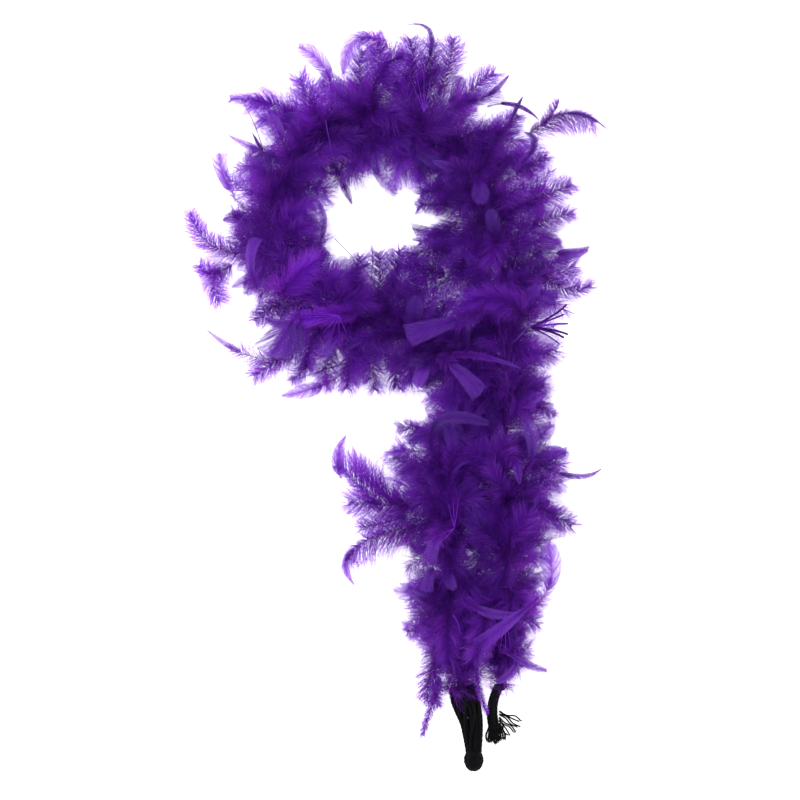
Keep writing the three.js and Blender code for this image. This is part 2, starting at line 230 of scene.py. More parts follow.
# name, body, from, to, and the way the feathers lean at either end: 1 along the cord, -1 back.
STRETCHES = [
    ("left_tail", "left_tail", 0.0, fold_at[0], 0.4, -1),
    ("left_stem", "stem", fold_at[0], fold_at[1], 1, -1),
    ("loop", "loop", fold_at[1], fold_at[2], 1, -1),
    ("right_stem", "stem", fold_at[2], fold_at[3], 1, -1),
    ("right_tail", "right_tail", fold_at[3], CORE_LENGTH, 1, -1.2),
]
print("folds at:", [round(x, 3) for x in fold_at])

# %% [markdown]
# ## Making meshes quickly
#
# A boa has over a hundred thousand barbs. Each is a narrow ribbon of four-sided faces, and numpy lays out
# thousands at once. The helper below turns such arrays into one Blender mesh. Every piece gets a flat
# layout of its faces named OFBake, and the colours are drawn from that layout: across it runs the tint
# of each barb, and up it runs the way from the dark quill to the bright tip.

# %% From arrays to a Blender object
def mesh_piece(name, parts, material):
    """One object from parts, each with points, four-sided faces and their places in the layout."""
    part_points, part_faces, part_places = zip(*parts)
    first = np.cumsum([0, *map(len, part_points)])
    points = np.vstack(part_points)
    faces = np.vstack([corners + start for corners, start in zip(part_faces, first)])
    mesh = bpy.data.meshes.new(name)
    mesh.vertices.add(len(points))
    mesh.vertices.foreach_set("co", points.astype(np.float32).ravel())
    mesh.loops.add(faces.size)
    mesh.loops.foreach_set("vertex_index", faces.astype(np.int32).ravel())
    mesh.polygons.add(len(faces))
    mesh.polygons.foreach_set("loop_start", np.arange(0, faces.size, 4, dtype=np.int32))
    mesh.polygons.foreach_set("use_smooth", np.ones(len(faces), bool))
    layout = mesh.uv_layers.new(name="OFBake")
    layout.uv.foreach_set("vector", np.vstack(part_places).astype(np.float32).ravel())
    mesh.update(calc_edges=True)
    mesh.materials.append(material)
    piece = bpy.data.objects.new(name, mesh)
    bpy.context.scene.collection.objects.link(piece)
    return piece


def strip_faces(rows, columns, count=1, closed=False):
    """Faces of count grids, each with rows and columns of points in order. Closed grids join round."""
    across = columns if closed else columns - 1
    row, column = np.meshgrid(np.arange(rows - 1), np.arange(across), indexing="ij")
    left, right = row * columns + column, row * columns + (column + 1) % columns
    grid = np.stack([left, right, right + columns, left + columns], axis=-1).reshape(-1, 4)
    return (np.arange(count)[:, None, None] * rows * columns + grid).reshape(-1, 4)


def turned(vectors, axis, angle):
    """Vectors turned about a unit axis."""
    cos, sin = math.cos(angle), math.sin(angle)
    return vectors * cos + np.cross(axis, vectors) * sin + axis * (vectors @ axis) * (1 - cos)


def unit(vector):
    """Vectors of the same way, one long."""
    return vector / np.linalg.norm(vector, axis=-1, keepdims=True)


UP = np.array([0, 0, 1.0])

# %% [markdown]
# ## Feather material
#
# Dyed feather is thin. Light that lands on it comes back a deep violet, and light that passes through it
# comes out far brighter, almost lilac. A Translucent shader mixed into the Principled one does that, with
# a colour of its own. The colour climbs from nearly black at the tied quills to bright violet at the tips
# of the down: partly the feather's own colour, partly painted shade deep in the pile where the quills are
# tied and painted light on the outer tips. The firm vanes are smoother and paler, with a thin dark rim
# that is painted shade of their curled edges.

# %% Colours from quill to tip
# Height in the OFBake layout, colour of the lit side, colour of the light that comes through.
DOWN_LOW, DOWN_HIGH = 0.14, 0.68
VANE_LOW, VANE_HIGH = 0.76, 0.97
# The low stops are partly painted shade of the pile's deep core at the quills, and DOWN_HIGH is partly
# painted light on the outer tips of the down.
FEATHER_RAMP = [
    (0.0, (0.016, 0.003, 0.045), (0.22, 0.03, 0.36)),
    (DOWN_LOW, (0.030, 0.003, 0.090), (0.30, 0.035, 0.52)),
    (0.40, (0.092, 0.008, 0.280), (0.42, 0.06, 0.74)),
    (DOWN_HIGH, (0.175, 0.024, 0.480), (0.56, 0.19, 0.90)),
    (VANE_LOW, (0.085, 0.012, 0.270), (0.36, 0.08, 0.66)),
    (0.93, (0.130, 0.030, 0.370), (0.46, 0.20, 0.80)),
    # The last stop is painted shade: the dark rim of a vane's curled edge.
    (1.0, (0.050, 0.010, 0.150), (0.18, 0.04, 0.34)),
]
THROUGH_SHARE = 0.5
TINT_BRIGHTNESS = (0.55, 1.5)  # of the darkest and of the lightest barb
TINT_HUE = (0.492, 0.507)  # 0.5 leaves the hue as it is


def layout_axes(add):
    """The OFBake layout and its two axes: across for tint, and up for quill to tip."""
    layout = add("UVMap", {})
    layout.uv_map = "OFBake"
    axes = add("SeparateXYZ", {0: layout})
    return layout, axes.outputs["X"], axes.outputs["Y"]


def colour_ramp(add, value, stops):
    """A colour that follows a value through these stops."""
    ramp = add("ValToRGB", {0: value})
    elements, stops = ramp.color_ramp.elements, list(stops)
    while len(elements) < len(stops):
        elements.new(0.5)
    for element, (place, colour) in zip(elements, stops):
        element.position = place
        element.color = (*colour, 1)
    return ramp


def spread(add, value, low, high):
    """A value from 0 to 1, spread to another range."""
    return add("MapRange", {"Value": value, "To Min": low, "To Max": high})


def feather_material():
    """A dull, streaked side mixed with light that comes through, both coloured along the feather."""
    material, add = new_material("dyed_feather")
    layout, across, up = layout_axes(add)
    tint = {"Value": spread(add, across, *TINT_BRIGHTNESS), "Hue": spread(add, across, *TINT_HUE)}
    heights, lit, through = zip(*FEATHER_RAMP)
    lit = add("HueSaturation", {"Color": colour_ramp(add, up, zip(heights, lit)), **tint})
    through = add("HueSaturation", {"Color": colour_ramp(add, up, zip(heights, through)), **tint})
    streaks = add("TexNoise", {"Vector": layout, "Scale": 60, "Detail": 3})
    bump = add("Bump", {"Height": streaks, "Strength": 0.25, "Distance": 0.2 * MM})
    dullness = {"Roughness": spread(add, streaks, 0.42, 0.66), "Specular IOR Level": 0.15}
    barbs = add("BsdfPrincipled", {"Base Color": lit, "Normal": bump, **dullness})
    shining = add("BsdfTranslucent", {"Color": through})
    mix = add("MixShader", {0: THROUGH_SHARE, 1: barbs, 2: shining})
    add("OutputMaterial", {"Surface": mix})
    return material


FEATHER = feather_material()
print("feather material:", len(FEATHER.node_tree.nodes), "nodes")

# %% [markdown]
# ## One feather
#
# A feather has a quill that tapers and curls, and a barb every half millimetre on both sides. Near the
# base the barbs are loose down that lifts off the face and clumps into points. Towards the tip they hook
# together into a firm, smooth vane that ends in a point, a round or, where it was cut, a square. Each
# barb is first laid out flat beside a straight quill, and the layout is then bent with the quill, so a
# vane bends as a sheet does. Barbs narrower than their spacing let white light through between them,
# and that is what makes a single vane look like tinted glass.

# %% Kinds of feather
# Millimetres: quill length and the reach of the down and of the vane to one side.
# firm_from is the share of the quill where the vane starts.
KINDS = {
    "fluff": dict(length=(46, 70), down=(19, 28), vane=(0, 0), firm_from=1.0),
    "pointed": dict(length=(58, 84), down=(15, 22), vane=(7, 10), firm_from=0.6),
    "round": dict(length=(56, 80), down=(15, 22), vane=(9, 13), firm_from=0.55),
    "flat": dict(length=(56, 78), down=(15, 22), vane=(8, 12), firm_from=0.55),
}
KIND_SHARES = [0.76, 0.10, 0.08, 0.06]
# Millimetres: how far apart barbs stand, how wide one of down is, and the size of clumps and of splits.
DOWN_SPACING, VANE_SPACING = 0.37, 0.42
DOWN_RIBBON = 0.41
CLUMP_SPACING, CLUMP_PULL = 4.5, 0.42
SPLIT_SPACING = 6.0
DOWN_STEPS, VANE_STEPS = 4, 3
QUILL_STEPS = 14
BEYOND_TIP = 1.4  # the bent layout goes on past the quill's tip to this share of its length
PATH_STEPS = round(QUILL_STEPS * BEYOND_TIP)
print("kinds of feather:", ", ".join(KINDS))


# %% The quill's path
def carried(side, headings):
    """A side at each heading of a line, turned as little as possible on the way."""
    sides = []
    for heading in headings:
        side = unit(side - heading * (side @ heading))
        sides.append(side)
    return np.array(sides)


def grown_path(start, heading, side, length, curl, sickle):
    """Points and frames of a quill that curls off its face and bends sideways more towards its tip."""
    step = length / QUILL_STEPS
    points, headings, sides = [start], [heading], [side]
    for i in range(1, PATH_STEPS + 1):
        if i <= QUILL_STEPS:
            weight = 2 * i / QUILL_STEPS**2
            heading = turned(heading, side, -curl * weight)
            face = np.cross(heading, side)
            heading = turned(heading, face, sickle * weight)
            side = unit(side - heading * (side @ heading))
        points.append(points[-1] + heading * step)
        headings.append(heading)
        sides.append(side)
    return np.array(points), np.array(headings), np.array(sides)


def drawn_path(start, middle, tip, roll):
    """Points and frames of a quill through three places. Roll 0 lays its face up."""
    share = np.linspace(0, BEYOND_TIP, PATH_STEPS + 1)[:, None]
    handle = 2 * middle - (start + tip) / 2
    inside = np.minimum(share, 1)
    points = start * (1 - inside) ** 2 + 2 * handle * inside * (1 - inside) + tip * inside**2
    points = points + (share - inside) * 2 * (tip - handle)
    headings = unit(np.gradient(points, axis=0))
    side = turned(unit(np.cross(headings[0], UP)), headings[0], math.radians(roll))
    return points, headings, carried(side, headings)


# %% Barbs, laid out flat beside the quill
TWO_SIDES = np.array([-1.0, 1.0])
CLUMPS = 80  # at most, on the two sides of one feather


def steps_sum(steps):
    """How far a barb has come at each of its points, when these are its steps."""
    return np.cumsum(steps, axis=1) - steps[:, :1]


def down_layout(rng, length, reach, until, lopsided=0):
    """Loose barbs up to a share of the quill: along, out, off the face, angle, ribbon, roll and height.

    A lopsided feather has its full reach on one side only: 1 or -1.
    """
    count = max(4, round((until - 0.01) * length / (DOWN_SPACING * MM)))
    root = np.tile(np.linspace(0.01, until, count), 2) + rng.normal(0, 0.003, 2 * count)
    hand = np.repeat(TWO_SIDES, count)
    shape = 0.8 + 0.2 * np.clip(root / 0.15, 0, 1)
    shape = shape * (0.72 + 0.28 * np.clip((1 - root) / 0.5, 0, 1) ** 0.8)
    if until < 0.98:
        shape = shape * (1 - 0.75 * np.clip((root - until + 0.22) / 0.22, 0, 1))
    reach = reach * shape * (1 + rng.normal(0, 0.13, 2 * count)) * np.where(hand * lopsided < 0, 0.3, 1)
    clumps = length / (CLUMP_SPACING * MM)
    position = root * clumps + rng.uniform(0, 6) * hand
    position = position + 0.75 * np.sin(1.1 * position + 5 * hand)
    clump = np.floor(position).astype(int)
    within = position - clump - 0.5
    pick = (clump + CLUMPS // 2 * (hand > 0)) % CLUMPS
    sweep = np.radians(32 + 14 * root) + rng.normal(0, math.radians(6), CLUMPS)[pick]
    sweep += rng.normal(0, 0.13, 2 * count)
    sweep += np.clip((root - 0.8) / 0.2, 0, 1) * rng.uniform(-0.25, 0.65, 2 * count)
    bend = math.radians(13) + rng.normal(0, 0.18, 2 * count)
    q = np.linspace(0, 1, DOWN_STEPS + 1)
    angle = sweep[:, None] + bend[:, None] * q
    step = reach[:, None] / DOWN_STEPS
    along = steps_sum(np.sin(angle) * step) + root[:, None] * length
    along -= within[:, None] * CLUMP_SPACING * MM * CLUMP_PULL * q**1.5
    out = steps_sum(np.cos(angle) * step)
    lift = rng.normal(0, 0.22, CLUMPS)[pick] + rng.normal(0, 0.24, 2 * count)
    wave = rng.normal(0, 0.06, (2 * count, 1)) * np.sin(q * 5 + rng.uniform(0, 6, (2 * count, 1)))
    off = reach[:, None] * (lift[:, None] * q**1.3 + wave)
    ribbon = DOWN_RIBBON * MM * (1 - 0.58 * q) * rng.uniform(0.7, 1.3, (2 * count, 1))
    roll = rng.uniform(-1.3, 1.3, 2 * count)
    # Heights climb the ramp from quill to tip, so the dark low end is partly painted shade of the pile's
    # core.
    up = DOWN_LOW + (DOWN_HIGH - DOWN_LOW) * np.clip(0.55 * root[:, None] + 0.55 * q, 0, 1)
    return along, hand[:, None] * out, off, angle * hand[:, None], ribbon, roll, up


def vane_width(share, kind):
    """The half width of a vane at a share of the way from its start to its end, as a share of its widest."""
    share = np.clip(share, 0, 1)
    if kind == "flat":
        return (0.3 + 0.7 * share**0.6) * np.clip((1 - share) / 0.03, 0, 1)
    if kind == "round":
        return (0.3 + 0.7 * np.sin(share * 2.2) ** 0.7) * np.clip(1 - share**4, 0, 1) ** 0.5
    return (0.4 + 0.6 * np.sin(share * 2.6) ** 0.7) * np.clip(1 - share**1.8, 0, 1) ** 0.9


def vane_layout(rng, length, reach, start, kind, thickness):
    """Firm barbs from where the vane starts to the tip, each as long as the vane's outline lets it be."""
    count = max(4, round((0.995 - start) * length / (VANE_SPACING * MM)))
    root = np.tile(np.linspace(start, 0.995, count), 2) + rng.normal(0, 0.0012, 2 * count)
    hand = np.repeat(TWO_SIDES, count)
    split = np.floor(root * length / (SPLIT_SPACING * MM) + rng.uniform(0, 3) * hand).astype(int) % 40
    sweep = np.radians(40 + 16 * np.clip((root - start) / (1 - start), 0, 1))
    sweep += rng.normal(0, 0.012, 2 * count)
    sweep += rng.normal(0, math.radians(0.9), 40)[split]
    bend = math.radians(16)
    end = 1.0 if kind == "flat" else 1.05
    low, high = np.zeros(2 * count), np.full(2 * count, 1.2 * reach)
    lean = np.tan(sweep + bend / 2)
    for _ in range(14):
        middle = (low + high) / 2
        share = (root + middle * lean / length - start) / (end - start)
        inside = middle < reach * vane_width(share, kind)
        low, high = np.where(inside, middle, low), np.where(inside, high, middle)
    q = np.linspace(0, 1, VANE_STEPS + 1)
    angle = sweep[:, None] + bend * q
    travel = (low / np.cos(sweep + bend / 2))[:, None] * (1 + rng.normal(0, 0.02, (2 * count, 1)))
    step = travel / VANE_STEPS
    middle_angle = angle - bend / (2 * VANE_STEPS)
    along = steps_sum(np.sin(middle_angle) * step) + root[:, None] * length
    out = steps_sum(np.cos(middle_angle) * step)
    off = -0.14 * out + 0.05 * travel * q**2
    ribbon = VANE_SPACING * MM * thickness * np.cos(angle) * (1.25 - 0.25 * q)
    roll = np.full(2 * count, 0.15)
    # Towards a vane's edge the height nears the ramp's last stop, a painted shade of the curled rim.
    up = VANE_LOW + (VANE_HIGH - VANE_LOW) * q
    return along, hand[:, None] * out, off, angle * hand[:, None], ribbon, roll, up


# %% The feather, bent and coloured
SHADE_STRIP = 0.008  # how wide each barb's strip is in the layout
QUILL_THICKNESS = 0.28 * MM


def bent_barbs(rng, path, layout, tint, darker_until=0.0):
    """Barbs as ribbons beside the bent quill, as one part for mesh_piece."""
    points, headings, sides = path
    along, out, off, angle, ribbon, roll, up = layout
    faces_up = np.cross(headings, sides)
    along_path = distances(points)
    on_quill = (points, headings, sides, faces_up)
    place, heading, side, face = (at_distance(line, along_path, along) for line in on_quill)
    middle = place + side * out[..., None] + face * off[..., None]
    flat = heading * np.cos(angle)[..., None] - side * np.sin(angle)[..., None]
    roll = roll[:, None, None]
    across = (flat * np.cos(roll) + face * np.sin(roll)) * ribbon[..., None] / 2
    ribbons = np.stack([middle - across, middle + across], axis=2)
    count, rows = along.shape
    from_start = (along[:, 0] - along[:, 0].min()) / np.ptp(along[:, 0])
    shade = tint + rng.normal(0, 0.08, count) - 0.3 * np.clip(1 - from_start / max(darker_until, 1e-6), 0, 1)
    shade = np.clip(shade, 0.02, 0.97)[:, None, None]
    places = np.empty((count, rows, 2, 2))
    places[..., 0] = shade + np.array([0, SHADE_STRIP])
    places[..., 1] = up[..., None]
    faces = strip_faces(rows, 2, count)
    return ribbons.reshape(-1, 3), faces, places.reshape(-1, 2)[faces.ravel()]


def feather_parts(rng, kind, path, length, down, vane, tint, thickness, firm_from):
    """The down, the vane and the quill of one feather. Down and vane are the reach to one side."""
    parts = []
    if down > 0:
        until = 0.985 if vane == 0 else firm_from + 0.15
        lopsided = {"left": -1, "right": 1}.get(kind, 0)
        parts.append(bent_barbs(rng, path, down_layout(rng, length, down, until, lopsided), tint))
    if vane > 0:
        layout = vane_layout(rng, length, vane, firm_from, kind, thickness)
        parts.append(bent_barbs(rng, path, layout, tint, 0.5))
    # The quill climbs the same ramp, so its dark base is partly painted shade of the pile's core.
    parts.append(quill_part(path, length, tint, QUILL_THICKNESS, 0.12, 0.58))
    return parts


QUILL_SIDES = 4
QUILL_RINGS = 10


def quill_part(path, length, tint, thick, low, high, taper=0.75):
    """A tapering quill that runs up the layout from low to high, as a part for mesh_piece."""
    along_path = distances(path[0])
    share = np.linspace(0, 1, QUILL_RINGS)
    middle, heading, side = (at_distance(line, along_path, share * length) for line in path)
    face = np.cross(heading, side)
    radius = thick * (1 - taper * share)
    turn = np.arange(QUILL_SIDES) / QUILL_SIDES * 2 * math.pi
    ring = side[:, None] * np.cos(turn)[:, None] + face[:, None] * np.sin(turn)[:, None]
    tube = middle[:, None] + ring * radius[:, None, None]
    faces = strip_faces(QUILL_RINGS, QUILL_SIDES, closed=True)
    places = np.empty((QUILL_RINGS, QUILL_SIDES, 2))
    places[..., 0] = tint + SHADE_STRIP * np.arange(QUILL_SIDES) / QUILL_SIDES
    places[..., 1] = (low + (high - low) * share)[:, None]
    return tube.reshape(-1, 3), faces, places.reshape(-1, 2)[faces.ravel()]


# %% [markdown]
# ## Plumes round the cord
#
# A plume is the bunch of feathers tied at one place on the cord. They leave it on all sides. The lower
# ones are pushed out flat by the table, and the upper ones flop over and lie along the pile. Each plume
# is one piece that stands for its CAD node and moves with the same body.

# %% Keep off the table
TABLE_SKIN = 6 * MM  # below this height, points are pressed together above the table
CEILING = 98 * MM


def settled(points):
    """Points above the table: what would go through it lies flat on it instead."""
    z = points[:, 2]
    low = TABLE_SKIN * np.exp(np.minimum((z - TABLE_SKIN) / TABLE_SKIN, 0))
    high = CEILING - TABLE_SKIN * np.exp(-np.maximum((z - CEILING + TABLE_SKIN) / TABLE_SKIN, 0))
    z = np.where(z < TABLE_SKIN, low, np.where(z > CEILING - TABLE_SKIN, high, z))
    return np.column_stack([points[:, :2], z])


# %% Where the plumes are tied
PLUME_PITCH = 0.042
plumes = []
for name, body, start, end, lean_from, lean_to in STRETCHES:
    count = round((end - start) / PLUME_PITCH)
    for i in range(count):
        share = (i + 0.5) / count
        lean = lean_from + (lean_to - lean_from) * i / (count - 1)
        at = start + (end - start) * share
        plumes.append(dict(body=body, at=at, lean=lean, length=(end - start) / count))
print("plumes:", len(plumes))

# %% Grow one plume
FEATHERS_PER_PLUME = 26
GOLDEN_TURN = math.pi * (3 - math.sqrt(5))
TIE_RADIUS = 5 * MM
END_TAPER = 0.10  # the feathers get shorter over this last length before either end
route_spread = np.array([(left, right) for _, _, left, right in ROUTE])
route_along = core_along[::ROUTE_PIECES]


def cord_frame(at):
    """The place, the heading and the two spread shares at a distance along the cord."""
    here, there = at_distance(core, core_along, np.array([at - 2 * MM, at + 2 * MM]))
    left, right = at_distance(route_spread, route_along, at)
    return (here + there) / 2, unit(there - here), left, right


def nearest_plume(place):
    """The plume that is tied nearest to a place on the table."""
    return min(plumes, key=lambda plume: np.linalg.norm(cord_frame(plume["at"])[0][:2] - place[:2]))


def grow_plume(number, plume):
    """All the loose feathers of one plume, as parts for mesh_piece."""
    rng = np.random.default_rng(100 + number)
    parts = []
    for j in range(FEATHERS_PER_PLUME):
        at = plume["at"] + ((j + 0.5) / FEATHERS_PER_PLUME - 0.5) * plume["length"]
        place, cord_way, left, right = cord_frame(float(np.clip(at, 2 * MM, CORE_LENGTH - 2 * MM)))
        turn = (number * FEATHERS_PER_PLUME + j) * GOLDEN_TURN + rng.normal(0, 0.2)
        sideways = unit(np.cross(UP, cord_way))
        outward = sideways * math.cos(turn) + UP * math.sin(turn)
        upward = max(math.sin(turn), 0)
        flop = rng.choice([-1, 1]) if 1 < number < len(plumes) else (1 if number == 1 else -1)
        lean = rng.normal(0, 0.45) + 0.35 * plume["lean"] + upward * flop * rng.uniform(0.2, 0.9)
        heading = outward * math.cos(lean) + cord_way * math.sin(lean)
        heading[2] = np.clip(heading[2], -0.3, 0.5)
        heading = unit(heading)
        side = turned(unit(np.cross(heading, UP)), heading, rng.normal(0, 0.5))
        name = rng.choice(list(KINDS), p=KIND_SHARES)
        kind = KINDS[name]
        share = left if math.cos(turn) > 0 else right
        size = 1 + (share - 1) * math.cos(turn) ** 2
        to_end = min(at + 0.005, CORE_LENGTH - at)
        length = rng.uniform(*kind["length"]) * MM * size * (0.25 + 0.75 * min(to_end / END_TAPER, 1))
        curl = math.radians(rng.normal(30, 22)) + upward * math.radians(rng.uniform(30, 75))
        sickle = math.radians(rng.normal(0, 26))
        tied = place + outward * TIE_RADIUS * rng.choice([1, -1], p=[0.55, 0.45])
        tied = tied + UP * rng.uniform(0, 1.4) * TIE_RADIUS
        path = grown_path(tied, heading, side, length, curl, sickle)
        tint = float(np.clip(rng.normal(0.45, 0.17), 0.08, 0.9))
        down, vane = rng.uniform(*kind["down"]) * MM, rng.uniform(*kind["vane"]) * MM
        thickness = rng.uniform(0.6, 1.15)
        parts += feather_parts(rng, name, path, length, down, vane, tint, thickness, kind["firm_from"])
    return parts


for number, plume in enumerate(plumes, 1):
    plume["parts"] = grow_plume(number, plume)
print("loose feathers:", FEATHERS_PER_PLUME * len(plumes))

# %% [markdown]
# ## Feathers laid one by one
#
# Chance makes an even fur, and a real boa isn't even: a few long feathers stand out of the pile, and
# some vanes lie on top of it. Those are laid one by one. Each row gives the kind, the reach of its down
# and of its vane to one side, where its vane starts, how thick and how light it is, how far it is rolled
# about its quill, and the three places that its quill goes through. A feather that is all down has a
# shorter row of its own. Each one belongs to the plume that is tied nearest to where it starts.

# %% The long and the topmost feathers, in millimetres
def fluff(down, tint, *places, kind="fluff", roll=0):
    """A row for a feather that is down from end to end."""
    return (kind, down, 0, 1.0, 1, tint, roll, *places)


